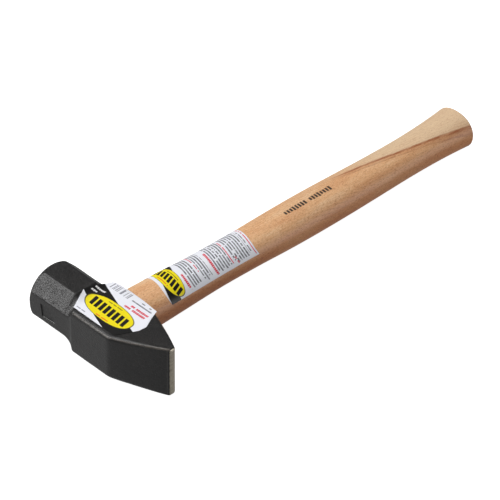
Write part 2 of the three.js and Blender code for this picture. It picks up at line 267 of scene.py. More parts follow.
class V:
    def __init__(self, mat, s):
        self.k, self.s = mat, s

    def _op(self, op, *others):
        n = self.k.node("ShaderNodeMath"); n.operation = op
        self.k.t.links.new(self.s, n.inputs[0])
        for i, o in enumerate(others):
            if isinstance(o, V):
                self.k.t.links.new(o.s, n.inputs[i + 1])
            else:
                n.inputs[i + 1].default_value = float(o)
        return V(self.k, n.outputs[0])

    def __add__(self, o): return self._op("ADD", o)
    __radd__ = __add__
    def __sub__(self, o): return self._op("SUBTRACT", o)
    def __rsub__(self, o): return (self * -1.0) + o
    def __mul__(self, o): return self._op("MULTIPLY", o)
    __rmul__ = __mul__
    def __truediv__(self, o): return self._op("DIVIDE", o)
    def __neg__(self): return self * -1.0
    def sin(self): return self._op("SINE")
    def sqrt(self): return self._op("SQRT")
    def abs(self): return self._op("ABSOLUTE")
    def floor(self): return self._op("FLOOR")
    def fract(self): return self._op("FRACT")
    def pow(self, o): return self._op("POWER", o)
    def min(self, o): return self._op("MINIMUM", o)
    def max(self, o): return self._op("MAXIMUM", o)
    def atan2(self, o): return self._op("ARCTAN2", o)

    def step(self, a, b):
        """0 below a, 1 above b, smooth between; a > b reverses it."""
        n = self.k.node("ShaderNodeMapRange"); n.interpolation_type = "SMOOTHSTEP"
        self.k.t.links.new(self.s, n.inputs["Value"])
        lo_, hi_, t0, t1 = (a, b, 0.0, 1.0) if a <= b else (b, a, 1.0, 0.0)
        n.inputs["From Min"].default_value = lo_
        n.inputs["From Max"].default_value = hi_
        n.inputs["To Min"].default_value = t0
        n.inputs["To Max"].default_value = t1
        return V(self.k, n.outputs[0])


class C:
    def __init__(self, mat, s):
        self.k, self.s = mat, s

    def mix(self, other, fac, mode="MIX"):
        n = self.k.node("ShaderNodeMix"); n.data_type = "RGBA"; n.blend_type = mode
        if isinstance(fac, V):
            self.k.t.links.new(fac.s, n.inputs[0])
        else:
            n.inputs[0].default_value = fac
        self.k.t.links.new(self.s, n.inputs[6])
        if isinstance(other, C):
            self.k.t.links.new(other.s, n.inputs[7])
        else:
            n.inputs[7].default_value = (*other, 1)
        return C(self.k, n.outputs[2])


def srgb(r, g, b):
    def f(c):
        c /= 255.0
        return c / 12.92 if c <= 0.04045 else ((c + 0.055) / 1.055) ** 2.4
    return (f(r), f(g), f(b))


def set_material(ob, *mats):
    ob.data.materials.clear()
    for m in mats:
        ob.data.materials.append(m)


# ---------------------------------------------------------------------------------------------
# materials
# ---------------------------------------------------------------------------------------------
def forged_material():
    k = Mat("forged_steel")
    x, y, z = k.xyz()
    p = k.vec(x, y, z)
    grain = k.noise(p, 0.50, 3.0, 0.72)
    fine = k.noise(p, 1.3, 2.0, 0.6)
    cloud = k.noise(p, 0.06, 3.0, 0.55)
    pits = k.voronoi(p, 0.5).step(0.30, 0.02)
    lacquer = k.rgb(srgb(20, 19, 19)).mix(srgb(36, 34, 33), grain.step(0.35, 0.72))
    lacquer = lacquer.mix(srgb(20, 19, 19), cloud.step(0.45, 0.72) * 0.5)
    lacquer = lacquer.mix(srgb(66, 54, 46), cloud.step(0.46, 0.30) * fine.step(0.55, 0.8) * 0.35)
    lacquer = lacquer.mix(srgb(26, 25, 25), pits * 0.3)
    # painted shade: the recess on the poll's front flat is coloured darker
    painted_recess_shade = (y - 46.6).abs().step(8.2, 6.0) * (z + 0.4).abs().step(6.2, 4.6) * x.step(-21.6, -21.9)
    lacquer = lacquer.mix(srgb(12, 11, 11), painted_recess_shade * 0.6)
    # lighter colour along the front edge of the upper cheek, block and peen: lacquer worn thin, and a painted
    # highlight of the edge
    t = ((y + 68.6) / 45.8).max(0.0).min(1.0)
    off = ((x + (t * 21.15 + 2.35 + t * (t * -1.0 + 1.0) * 4.4)).abs()).max((z - (t * -3.3 + 21.8)).abs())
    patchy = k.noise(p, 0.30, 3.0, 0.7)
    edge_wear_and_highlight = (off + (patchy - 0.5) * 2.4).step(2.1, 1.0) * (y).step(18.0, 14.0) * patchy.step(0.30, 0.52)
    lacquer = lacquer.mix(srgb(104, 97, 90), edge_wear_and_highlight * 0.62)
    # bright zones: ground striking face with its bevel, and the ground peen edge
    ragged = k.noise(p, 0.35, 3.0, 0.6) - 0.5
    face = (y + ragged * 0.5).step(66.85, 67.0)
    edge = (y + ragged * 0.5).step(-67.85, -68.10)
    bare = face.max(edge)
    scratch = k.noise(k.vec(x * 0.25, y * 1.0, z * 6.0), 1.0, 3.0, 0.6)
    swirl = k.noise(k.vec(x * 3.2, y, z * 0.4), 1.0, 2.0, 0.6)
    bright = k.rgb(srgb(222, 214, 196)).mix(srgb(176, 168, 152), scratch.step(0.35, 0.7))
    bright = bright.mix(srgb(120, 104, 86), k.noise(p, 0.16, 3.0, 0.6).step(0.52, 0.75) * 0.45)
    k.put("Base Color", lacquer.mix(bright, bare))
    k.put("Metallic", bare * 0.9)
    k.put("Roughness", (grain - 0.5) * 0.22 + 0.325 + bare * 0.08)
    k.put("Specular IOR Level", 0.5)
    h = grain * 0.30 + fine * 0.70 + pits * -0.4
    h = h * (1.0 - bare) + (scratch + swirl * 0.6) * bare * 0.35
    k.bump(h, 1.0, 0.36)
    return k.m


def hickory_material():
    k = Mat("hickory")
    x, y, z = k.xyz()
    # slow wander of the grain along the handle
    wa = (k.noise(k.vec(x * 0.011, y * 0.02, z * 0.02), 1.0, 2.0, 0.5) - 0.5) * 9.0
    wb = (k.noise(k.vec(x * 0.035, y * 0.06, z * 0.06 + 31.0), 1.0, 2.0, 0.5) - 0.5) * 2.6
    s = y - 3.0 + (x - 258.0) * 0.165 + (z - 15.0) * 0.10 + wb * 0.55    # 0 on the sap/heart boundary
    ring_pos = (s + wa + z * 0.18) / 2.35
    tooth = ring_pos.fract()
    early = tooth.step(0.0, 0.16) * tooth.step(0.62, 0.20)
    ring_gain = k.noise(k.vec(x * 0.012, y * 0.10, z * 0.10 + 7.0), 1.0, 2.0, 0.5).step(0.35, 0.7)
    fibre = k.noise(k.vec(x * 0.05, y * 1.9, z * 1.9), 1.0, 4.0, 0.62)
    fleck = k.noise(k.vec(x * 0.16, y * 2.4, z * 2.4 + 11.0), 1.0, 2.0, 0.5)
    pore = k.noise(k.vec(x * 0.22, y * 4.2, z * 4.2 + 5.0), 1.0, 1.0, 0.5)
    mottle = k.noise(k.vec(x * 0.018, y * 0.12, z * 0.12 + 19.0), 1.0, 3.0, 0.55)
    sap = srgb(230, 202, 166)
    heart = srgb(230, 181, 133)
    c = k.rgb(heart).mix(srgb(218, 160, 112), mottle.step(0.42, 0.70) * 0.75)
    c = c.mix(srgb(236, 200, 160), mottle.step(0.46, 0.28) * 0.6)
    sapness = s.step(-0.6, 1.4) * x.step(215.0, 300.0)
    c = c.mix(sap, sapness * 0.85)
    c = c.mix(srgb(196, 142, 98), early * ring_gain * 0.34)
    c = c.mix(srgb(182, 126, 86), fibre.step(0.54, 0.80) * 0.36)
    c = c.mix(srgb(246, 220, 186), fibre.step(0.44, 0.24) * 0.30)
    c = c.mix(srgb(164, 104, 66), fleck.step(0.60, 0.76) * (early * 0.5 + 0.5) * 0.45)
    c = c.mix(srgb(134, 82, 52), pore.step(0.64, 0.76) * 0.50)
    speck = k.noise(k.vec(x * 0.55, y * 1.5, z * 1.5 + 23.0), 1.0, 2.0, 0.6)
    c = c.mix(srgb(170, 100, 58), speck.step(0.52, 0.70) * 0.60 * (1.0 - sapness * 0.55))
    c = c.mix(srgb(250, 224, 190), speck.step(0.46, 0.28) * 0.40)
    # painted shade: the grip is coloured darker and warmer towards its underside, more so near the head
    painted_underside_shade = ((y + 2.0) * -0.55 + z * -0.83).step(-9.0, 13.0)
    c = c.mix(srgb(238, 203, 176), painted_underside_shade * 0.95, "MULTIPLY")
    c = c.mix(srgb(226, 206, 190), painted_underside_shade * x.step(180.0, 100.0), "MULTIPLY")
    # the dark streak where the heartwood begins, doubled for part of its length
    streak_fade = x.step(232.0, 262.0)
    d1 = (s + (k.noise(k.vec(x * 0.09, 3.0, 1.0), 1.0, 3.0, 0.6) - 0.5) * 1.3).abs().step(1.75, 0.45)
    d2 = (s + 3.0 + (k.noise(k.vec(x * 0.07, 9.0, 4.0), 1.0, 3.0, 0.6) - 0.5) * 1.8).abs().step(1.2, 0.10) * 0.50
    d2 = d2.max((s + 1.4).abs().step(2.6, 0.6) * 0.34)
    broken = k.noise(k.vec(x * 0.05, y * 0.4, z * 0.4 + 2.0), 1.0, 3.0, 0.6).step(0.28, 0.55)
    c = c.mix(srgb(158, 86, 44), d1.max(d2) * streak_fade * (broken * 0.5 + 0.5) * (0.74 + speck * 0.3))
    # butt rim: sanded end grain takes more lacquer and is darker
    end = x.step(HANDLE_END - 1.55, HANDLE_END - 0.9)
    c = c.mix(srgb(164, 92, 50), end * 0.72)
    # ink mark on the grip: two groups of plain upright ticks
    u = x - 181.0
    v = y * 1.0 + 2.2
    tick = (u / 3.05).fract()
    idx = (u / 3.05).floor()
    tall = k.white(k.vec(idx, 2.0, 3.0)) * 1.0 + 1.55
    ink = tick.step(0.06, 0.14) * tick.step(0.80, 0.72) * v.abs().__rsub__(tall).step(-0.12, 0.12)
    ink = ink * u.step(0.0, 0.1) * u.step(52.0, 51.9) * z.step(8.0, 10.0)
    gap = (u - 26.0).abs().step(1.55, 1.65)
    ink = ink * gap
    c = c.mix(srgb(40, 26, 18), ink * 0.96)
    k.put("Base Color", c)
    k.put("Roughness", (fibre - 0.5) * 0.18 + 0.46)
    k.put("Coat Weight", 0.22)
    k.put("Coat Roughness", 0.32)
    h = fibre * 0.5 + early * ring_gain * -0.35 + pore.step(0.60, 0.78) * -1.0
    k.bump(h, 0.35, 0.08)
    return k.m


def plain_wood_material(name, base, dark):
    k = Mat(name)
    x, y, z = k.xyz()
    fibre = k.noise(k.vec(x * 0.12, y * 2.4, z * 2.4), 1.0, 4.0, 0.6)
    saw = k.noise(k.vec(x * 1.4, y * 0.3, z * 0.3), 1.0, 2.0, 0.5)
    c = k.rgb(base).mix(dark, fibre.step(0.45, 0.75) * 0.6).mix(base, saw.step(0.5, 0.8) * 0.3)
    k.put("Base Color", c)
    k.put("Roughness", fibre * 0.2 + 0.55)
    k.bump(fibre + saw * 0.6, 0.4, 0.12)
    return k.m


def wedge_steel_material():
    k = Mat("wedge_steel")
    x, y, z = k.xyz()
    g = k.noise(k.vec(x * 0.5, y * 3.0, z * 3.0), 1.0, 3.0, 0.6)
    r = k.noise(k.vec(x, y, z), 0.4, 3.0, 0.6)
    k.put("Base Color", k.rgb(srgb(150, 150, 152)).mix(srgb(112, 110, 108), g.step(0.4, 0.7)).mix(srgb(104, 82, 64), r.step(0.6, 0.8) * 0.4))
    k.put("Metallic", 1.0)
    k.put("Roughness", g * 0.2 + 0.3)
    k.bump(g, 0.3, 0.05)
    return k.m


PAPER, YELLOW, BLACK, RED = srgb(236, 237, 244), srgb(240, 222, 6), srgb(6, 5, 5), srgb(214, 44, 70)


def oval_print(k, c, p, q, a, b, power, stripes_from, stripes_to, half, lean, pitch):
    """A yellow oval with a dark outline at p = q = 0 (p across, q along), holding a row of plain slanted stripes."""
    r = ((p / a).abs().pow(power) + (q / b).abs().pow(power)).pow(1.0 / power)
    c = c.mix(srgb(60, 52, 20), r.step(1.035, 1.015))
    c = c.mix(YELLOW, r.step(0.995, 0.975))
    t = (q + p * lean - stripes_from) / pitch
    bar = t.fract().step(0.10, 0.15) * t.fract().step(0.83, 0.78)
    run = (q + p * lean).step(stripes_from, stripes_from + 0.05) * (q + p * lean).step(stripes_to, stripes_to - 0.05)
    return c.mix(BLACK, bar * run * p.abs().step(half + 0.12, half - 0.12))


def dashes(k, along, across, centre, half, start, stop, cell, seed, keep=0.82, slope=0.0):
    """Mask of a broken line: cells of the given length along it, with gaps and uneven edges."""
    i = (along / cell).floor()
    f = (along / cell).fract()
    on = k.white(k.vec(i, seed, 1.7)).step(keep, keep - 0.02)
    h = k.white(k.vec(i, seed + 4.0, 5.1)) * (half * 0.25) + half * 0.85
    d = (across - along * slope - centre).abs() - h
    return on * f.step(0.03, 0.10) * f.step(0.97, 0.88) * d.step(0.10, -0.10) * along.step(start - 0.05, start + 0.05) * along.step(stop + 0.05, stop - 0.05)


def head_sticker_material():
    k = Mat("printed_sticker_head")
    x, y, z = k.xyz()
    c = k.rgb(PAPER)
    # black band between two slanting edges
    low1 = (x - (y + 4.33) * 0.35 + 15.92)
    up1 = (x - (y - 27.0) * 0.222 + 1.85)
    low2 = (x - (y + 26.85) * 0.376 + 4.33)
    up2 = (x - (y - 24.73) * 0.355 - 17.22)
    s1, s2 = y.step(11.9, 12.1), y.step(-12.1, -11.9)
    right_of_1 = low1.step(-0.12, 0.12) * (1.0 - s1) + up1.step(-0.12, 0.12) * s1
    left_of_2 = low2.step(0.12, -0.12) * (1.0 - s2) + up2.step(0.12, -0.12) * s2
    c = c.mix(BLACK, right_of_1 * left_of_2)
    # short pale dashes on the black
    c = c.mix(srgb(226, 226, 226), dashes(k, y, x, 9.75 + 21.1 * 0.26, 0.85, 17.0, 25.4, 1.5, 3.0, 0.95, -0.26))
    c = c.mix(srgb(226, 226, 226), dashes(k, y, x, 5.4 + 22.6 * 0.38, 0.85, 19.8, 25.4, 1.5, 8.0, 0.95, -0.38))
    # oval
    ca, sa = math.cos(-0.049), math.sin(-0.049)
    p = (x + 2.386) * ca + (y + 1.806) * sa
    q = (y + 1.806) * ca - (x + 2.386) * sa
    c = oval_print(k, c, p, q, 10.487, 24.551, 2.287, -20.0, 21.3, 4.55, -0.27, 5.1)
    c = c.mix(srgb(70, 60, 24), dashes(k, y, x, 5.55, 0.42, -9.0, 7.3, 1.1, 11.0, 0.9))
    c = c.mix(srgb(232, 92, 30), dashes(k, y, x, -11.15, 0.55, -9.4, 4.2, 1.2, 14.0, 0.92))
    # ruled grey patch, plain dark and red dashes on the white
    i = (y / 0.62).floor()
    ruled = k.white(k.vec(i, 21.0, 2.0)).step(0.34, 0.50) * x.step(17.5, 17.6) * x.step(23.9, 23.8) * y.step(0.2, 0.3) * y.step(20.2, 20.1)
    ruled = ruled * (1.0 - (y - 10.3).abs().step(0.75, 0.65))
    c = c.mix(srgb(112, 112, 122), ruled * 0.85)
    c = c.mix(srgb(176, 176, 186), dashes(k, y, x, 24.6, 0.22, 1.0, 16.0, 0.9, 23.0, 0.8) * 0.8)
    c = c.mix(srgb(58, 58, 70), dashes(k, y, x, 19.0, 0.62, -25.0, -3.6, 1.25, 31.0, 0.9) * 0.9)
    c = c.mix(srgb(58, 58, 70), dashes(k, y, x, 21.9, 0.5, -21.9, -10.2, 1.15, 37.0, 0.9) * 0.9)
    c = c.mix(RED, dashes(k, y, x, 10.9, 1.0, -27.6, -4.2, 1.75, 41.0, 0.93))
    c = c.mix(RED, dashes(k, y, x, 14.15, 0.95, -26.6, -8.0, 1.7, 47.0, 0.93))
    c = c.mix(srgb(120, 120, 132), dashes(k, y, x, -15.7, 0.5, 10.4, 19.6, 1.1, 53.0, 0.85) * 0.8)
    k.put("Base Color", c)
    k.put("Roughness", k.noise(k.vec(x, y, z), 0.25, 2.0, 0.5) * 0.10 + 0.34)
    k.put("Specular IOR Level", 0.45)
    k.bump(k.noise(k.vec(x, y, z), 0.12, 2.0, 0.5), 0.25, 0.12)
    return k.m


def handle_sticker_material():
    k = Mat("printed_sticker_handle")
    u, v = k.uv("print")
    c = k.rgb(PAPER)
    # rows of broken grey lines, running round the handle
    rows = [(a, b) for a, b in WRAP_ROWS]
    pitch = 2.5
    i = (u / pitch).floor()
    f = (u / pitch).fract()
    j = (v / 1.05).floor()
    word = k.white(k.vec(i, j, 3.3)).step(0.92, 0.90)
    tone = k.white(k.vec(i, j, 9.1)) * 0.3 + 0.70
    body = f.step(0.20, 0.32) * f.step(0.82, 0.70)
    ends = k.white(k.vec(i, 2.2, 8.4)) * 2.4 + 16.2
    margin = v.step(-18.6, -18.4) * (ends - v).step(-0.05, 0.1)
    text = None
    for a, b in rows:
        m = u.step(a - 0.02, a + 0.02) * u.step(b + 0.02, b - 0.02)
        text = m if text is None else text.max(m)
    grey = k.rgb(PAPER).mix(srgb(40, 40, 52), tone)
    c = c.mix(grey, word * body * margin * text * 0.92)
    for centre, half, a, b, cell, seed, colour in WRAP_LINES:
        c = c.mix(colour, dashes(k, v, u, centre, half, a, b, cell, seed, 0.93))
    # black band behind the oval
    (ax, ay), (bx, by) = WRAP_BAND_1
    side1 = (u - ax) - (v - ay) * ((bx - ax) / (by - ay))
    (ax, ay), (bx, by) = WRAP_BAND_2
    side2 = (u - ax) - (v - ay) * ((bx - ax) / (by - ay))
    c = c.mix(BLACK, side1.step(-0.12, 0.12) * side2.step(0.12, -0.12))
    cx, cy, a, b, tilt, power = WRAP_OVAL
    ca, sa = math.cos(tilt), math.sin(tilt)
    p = (u - cx) * ca + (v - cy) * sa
    q = (v - cy) * ca - (u - cx) * sa
    c = oval_print(k, c, p, q, a, b, power, -15.6, 16.2, 3.6, 0.27, 4.0)
    c = c.mix(srgb(70, 60, 24), dashes(k, q, p, 5.1, 0.34, -7.0, 7.0, 1.0, 61.0, 0.9))
    c = c.mix(srgb(232, 92, 30), dashes(k, q, p, -5.6, 0.40, -7.0, 6.0, 1.0, 67.0, 0.92))
    k.put("Base Color", c)
    x, y, z = k.xyz()
    k.put("Roughness", k.noise(k.vec(x, y, z), 0.25, 2.0, 0.5) * 0.10 + 0.36)
    k.put("Specular IOR Level", 0.4)
    k.bump(k.noise(k.vec(x, y, z), 0.12, 2.0, 0.5), 0.25, 0.12)
    return k.m


# places of what is printed on the handle's sticker: distance from its near edge, and distance round from the top
WRAP_ROWS = [(24.9, 35.6), (38.4, 46.2), (53.2, 66.8), (69.4, 86.0)]
WRAP_LINES = [(22.7, 1.05, 3.8, 18.2, 1.5, 71.0, RED), (37.0, 0.5, -12.0, 9.0, 1.3, 73.0, RED), (51.0, 1.05, -4.0, 18.6, 1.6, 75.0, RED),
              (68.1, 0.5, -8.0, 17.2, 1.3, 77.0, RED), (72.6, 0.7, 12.8, 18.8, 1.5, 79.0, RED), (90.4, 0.5, -12.0, 19.2, 1.2, 83.0, RED),
              (87.6, 0.45, -7.0, 15.2, 1.2, 89.0, srgb(60, 60, 72))]
WRAP_OVAL = (11.3, 0.4, 7.9, 18.0, -0.08, 2.3)
WRAP_BAND_1 = ((3.6, 3.1), (0.0, 19.7))
WRAP_BAND_2 = ((21.6, -9.8), (9.5, 20.0))


def floor_material():
    k = Mat("pale_floor")
    k.put("Base Color", (0.40, 0.40, 0.40, 1))
    k.put("Roughness", 0.8)
    k.put("Specular IOR Level", 0.0)
    k.put("Emission Color", (1, 1, 1, 1))
    k.put("Emission Strength", 0.98)
    return k.m


FORGED = forged_material()
HICKORY = hickory_material()
set_material(floor, floor_material())

# ---------------------------------------------------------------------------------------------
# head
# ---------------------------------------------------------------------------------------------
HX, HZ, LOW_Z = 23.5, 18.5, 21.5
BLOCK_RZ, BLOCK_MID = (HZ + LOW_Z) / 2, (HZ - LOW_Z) / 2
Y_BLOCK, Y_BEND, Y_NECK, Y_FULL, Y_FACE, Y_TIP = 18.4, -22.8, 27.6, 61.8, 67.4, -68.6
POLL_X, NECK_Z, FACE_Z, FLAT = 22.7, 22.9, 23.1, 10.4
TIP_X, TIP_TOP, TIP_LOW, BULGE = 2.35, 21.8, 23.1, 1.1
# the turned rounding from the octagon to the striking face, (y, radius)
TURNED = [(56.5, 26.45), (58.0, 26.3), (60.5, 25.75), (62.2, 25.25), (63.8, 24.72), (65.0, 24.02), (66.0, 23.1), (66.75, 22.05), (67.15, 21.1)]
CROWN = 0.25


def section(y):
    """(rx, rz, flat half width in x, flat half height in z, corner softness, middle along z) of the head at y."""
    if y < Y_BEND:
        t = (y - Y_TIP) / (Y_BEND - Y_TIP)
        rx = TIP_X + (HX - TIP_X) * t + BULGE * 4 * t * (1 - t)
        rz, mid = (TIP_TOP + TIP_LOW) / 2 * (1 - t) + BLOCK_RZ * t, (TIP_TOP - TIP_LOW) / 2 * (1 - t) + BLOCK_MID * t
        cc = 0.7 + 1.3 * min(t * 1.5, 1)
        return rx, rz, max(rx - cc, rx * 0.4), rz - cc, 0.5 + 0.9 * min(t * 2, 1), mid
    if y < Y_BLOCK:
        return HX, BLOCK_RZ, HX - 2.0, BLOCK_RZ - 2.0, 1.4, BLOCK_MID
    if y < Y_NECK:
        w = (Y_NECK - y) / (Y_NECK - Y_BLOCK)           # 0 at the neck, 1 at the block
        e = (1 - math.sqrt(max(0.0, 1 - w * w))) ** 1.15
        g = 1 - (1 - w) ** 1.6
        return (POLL_X + (HX - POLL_X) * e, NECK_Z + (BLOCK_RZ - NECK_Z) * g,
                FLAT + (HX - 2.0 - FLAT) * e, FLAT + (BLOCK_RZ - 2.0 - FLAT) * e, 0.8 + 0.6 * e, BLOCK_MID * g)
    t = (y - Y_NECK) / (Y_FULL - Y_NECK)
    return POLL_X, NECK_Z + (FACE_Z - NECK_Z) * min(t, 1), FLAT, FLAT, 0.55, 0.0


def turned_curve(n=240):
    """Smooth curve through TURNED, as arrays of y and radius."""
    P = np.array(TURNED)
    d = np.r_[0, np.cumsum(np.hypot(*np.diff(P, axis=0).T))]
    u = np.linspace(0, d[-1], n)
    m = np.gradient(P, d, axis=0)
    out = []
    for t in u:
        i = min(int(np.searchsorted(d, t, side="right")) - 1, len(d) - 2)
        h = d[i + 1] - d[i]
        k = (t - d[i]) / h
        out.append((2 * k ** 3 - 3 * k ** 2 + 1) * P[i] + (k ** 3 - 2 * k ** 2 + k) * h * m[i] +
                   (-2 * k ** 3 + 3 * k ** 2) * P[i + 1] + (k ** 3 - k ** 2) * h * m[i + 1])
    return np.array(out)


def smooth_section(y, sigma):
    if sigma <= 0:
        return section(y)
    acc, tot = np.zeros(6), 0.0
    for k in range(-6, 7):
        d = k / 6 * 2.2 * sigma
        w = math.exp(-0.5 * (d / sigma) ** 2)
        acc += np.array(section(y + d)) * w
        tot += w
    return tuple(acc / tot)


PER_FLAT, PER_CORNER = 14, 5


def head_ring(y, rx, rz, fx, fz, soft, mid=0.0):
    cs = [(rx, fz), (fx, rz), (-fx, rz), (-rx, fz), (-rx, -fz), (-fx, -rz), (fx, -rz), (rx, -fz)]
    out = []
    n = 8
    cut = []
    for i in range(n):
        a, b = cs[i], cs[(i + 1) % n]
        cut.append(math.hypot(b[0] - a[0], b[1] - a[1]))
    for i in range(n):
        p, c, q = cs[i - 1], cs[i], cs[(i + 1) % n]
        lp, lq = cut[i - 1], cut[i]
        dp, dq = min(soft, lp * 0.48), min(soft, lq * 0.48)
        a = (c[0] + (p[0] - c[0]) / lp * dp, c[1] + (p[1] - c[1]) / lp * dp)
        b = (c[0] + (q[0] - c[0]) / lq * dq, c[1] + (q[1] - c[1]) / lq * dq)
        for j in range(PER_CORNER):
            t = j / (PER_CORNER - 1)
            out.append(((1 - t) ** 2 * a[0] + 2 * t * (1 - t) * c[0] + t * t * b[0],
                        (1 - t) ** 2 * a[1] + 2 * t * (1 - t) * c[1] + t * t * b[1]))
        # along the flat to the next corner
        cn = cs[(i + 1) % n]
        qn = cs[(i + 2) % n]
        dn = min(soft, cut[i] * 0.48)
        e = (cn[0] + (c[0] - cn[0]) / cut[i] * dn, cn[1] + (c[1] - cn[1]) / cut[i] * dn)
        for j in range(1, PER_FLAT):
            t = j / PER_FLAT
            out.append((b[0] + (e[0] - b[0]) * t, b[1] + (e[1] - b[1]) * t))
    return [(x, y, z + mid) for x, z in out]


def build_head():
    rings = []
    # the peen's edge, rounded over its whole thickness and at its two corners
    depth = 2.0
    rx0 = section(Y_TIP + depth)[0]
    for a in (4, 14, 24, 34, 44, 54, 64, 74, 82, 90):
        t = math.radians(a)
        y = Y_TIP + depth * (1 - math.cos(t))
        rx, rz, fx, fz, so, mid = section(y)
        w = rx0 * math.sin(t) ** 0.85
        dz = 2.6 * (1 - math.sqrt(max(0.0, 1 - ((Y_TIP + 2.6 - y) / 2.6) ** 2)))
        rings.append(head_ring(y, w, rz - dz, w * 0.72, rz - dz - min(1.0, w * 0.5), min(so, w * 0.3), mid))
    ys = list(np.arange(Y_TIP + 2.6, Y_BEND - 5, 1.5)) + list(np.arange(Y_BEND - 5, Y_BEND + 5, 0.5)) + \
        list(np.arange(Y_BEND + 5, Y_BLOCK - 3, 1.5)) + list(np.arange(Y_BLOCK - 3, Y_NECK + 2, 0.4)) + \
        list(np.arange(Y_NECK + 2, 59.5, 1.5))
    for y in ys:
        if y < -40:
            sg = 0
        elif y < 5:
            sg = 1.5
        elif y < Y_NECK + 3:
            sg = 0.45
        else:
            sg = 0
        rings.append(head_ring(y, *smooth_section(y, sg)))
    # each column of points runs along its flat to where the turned surface cuts it, and then follows that surface
    curve = turned_curve()
    base = head_ring(Y_FULL, *section(Y_FULL))
    radius = np.array([math.hypot(x, z) for x, _, z in base])
    order = np.argsort(curve[:, 1])
    y_cut = np.interp(radius, curve[order, 1], curve[order, 0])
    index = np.interp(radius, curve[order, 1], np.arange(len(curve))[order])
    last = 59.0
    for t in (0.35, 0.75, 1.0):
        rings.append([(x, last + (yc - 0.45 - last) * t, z * (section(last + (yc - 0.45 - last) * t)[1] / FACE_Z if abs(z) > 10 else 1))
                      for (x, _, z), yc in zip(base, y_cut)])
    rings.append([(x, yc - 0.14, z) for (x, _, z), yc in zip(base, y_cut)])
    for t in (0.0, 0.04, 0.12, 0.22, 0.33, 0.44, 0.55, 0.66, 0.77, 0.88, 0.95, 1.0):
        ring = []
        for (x, _, z), i0, r0 in zip(base, index, radius):
            i = i0 + 0.14 / 12.0 * len(curve) + (len(curve) - 1 - i0 - 0.14 / 12.0 * len(curve)) * t
            i = min(i, len(curve) - 1)
            j = int(i)
            f = i - j
            q = curve[j] * (1 - f) + curve[min(j + 1, len(curve) - 1)] * f
            ring.append((x * q[1] / r0, q[0], z * q[1] / r0))
        rings.append(ring)
    # striking face, slightly crowned, with a fine broken edge
    rim = TURNED[-1][1]
    for s in (0.975, 0.93, 0.85, 0.75, 0.62, 0.48, 0.34, 0.2, 0.08):
        rings.append([(x / r0 * rim * s, Y_FACE - CROWN * s * s * 0.8, z / r0 * rim * s) for (x, _, z), r0 in zip(base, radius)])
    # a forging is never quite flat: a slow swell, faded out on the ground faces
    out = []
    for r in rings:
        rr = []
        for x, y, z in r:
            w = min(1.0, max(0.0, (60.5 - y) / 6.0))
            if y < Y_TIP + 2.4:
                w = 0.15
            n1 = noise.noise(Vector((x * 0.045, y * 0.045, z * 0.045 + 3.1)))
            n2 = noise.noise(Vector((x * 0.16 + 9, y * 0.16, z * 0.16)))
            d = w * (0.16 * n1 + 0.06 * n2 - 0.08)
            l = math.hypot(x, z) or 1.0
            rr.append(mm(x + d * x / l, y, z + d * z / l))
        out.append(rr)
    v, f = skin(out)
    return new_object("head_forging", v, f)


def eye_half(x, gap):
    iy, iz = (15.6, 14.6, 15.4), (11.2, 10.2, 11.0)
    def f(v):
        if x < 4:
            return v[0] + (v[1] - v[0]) * (x + 23.5) / 27.5
        return v[1] + (v[2] - v[1]) * (x - 4) / 19.5
    return f(iy) - gap, f(iz) - gap


EYE_Y = 1.0


def oval_ring(x, hy, hz, power=2.0, middle=EYE_Y, n=96):
    r = []
    for i in range(n):
        a = i / n * 2 * math.pi
        c, s = math.cos(a), math.sin(a)
        k = (abs(c) ** power + abs(s) ** power) ** (-1 / power)
        r.append(mm(x, middle + hy * k * c, hz * k * s))
    return r


def boolean_cut(ob, cutters):
    for c in cutters:
        m = ob.modifiers.new("cut", "BOOLEAN")
        m.operation = "DIFFERENCE"
        m.solver = "EXACT"
        m.object = c
    bpy.context.view_layer.update()
    dg = bpy.context.evaluated_depsgraph_get()
    me = bpy.data.meshes.new_from_object(ob.evaluated_get(dg))
    ob.modifiers.clear()
    old = ob.data
    ob.data = me
    bpy.data.meshes.remove(old)
    for c in cutters:
        bpy.data.objects.remove(c)


head = build_head()
head_bvh = BVHTree.FromObject(head, bpy.context.evaluated_depsgraph_get())
xs = [-26.0] + list(np.linspace(-24.0, 24.0, 17)) + [26.0]
v, f = skin([oval_ring(x, *eye_half(min(max(x, -23.5), 23.5), 0.0)) for x in xs])
# a plain shallow forged recess on the poll's front flat, with sloping walls
quad = [(54.0, 5.2), (43.8, 5.6), (36.8, -5.9), (52.4, -6.9)]
cy, cz = sum(q[0] for q in quad) / 4, sum(q[1] for q in quad) / 4
vs = []
for x, k in ((-24.0, 1.14), (-21.95, 0.86)):
    vs += [mm(x, cy + (a - cy) * k, cz + (b - cz) * k) for a, b in quad]
recess = new_object("cutter_recess", vs, [(3, 2, 1, 0), (4, 5, 6, 7), (0, 1, 5, 4), (1, 2, 6, 5), (2, 3, 7, 6), (3, 0, 4, 7)], smooth=False)
boolean_cut(head, [new_object("cutter", v, f), recess])
for p in head.data.polygons:
    p.use_smooth = True
head.data.set_sharp_from_angle(angle=math.radians(38))
set_material(head, FORGED)
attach(head, "root"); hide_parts("head")

# the sealing plug in the top of the eye, lacquered with the head and flush with it
def front_x(y, z):
    hit = head_bvh.ray_cast(Vector(mm(-60, y, z)), Vector((1, 0, 0)))[0]
    return hit.x * 1000 - OX


def plug_ring(gap, s, depth=0.0):
    out = []
    hy, hz = eye_half(-23.5, gap)
    for i in range(96):
        a = i / 96 * 2 * math.pi
        y, z = EYE_Y + hy * s * math.cos(a), hz * s * math.sin(a)
        out.append(mm(front_x(y, z) + depth, y, z))
    return out


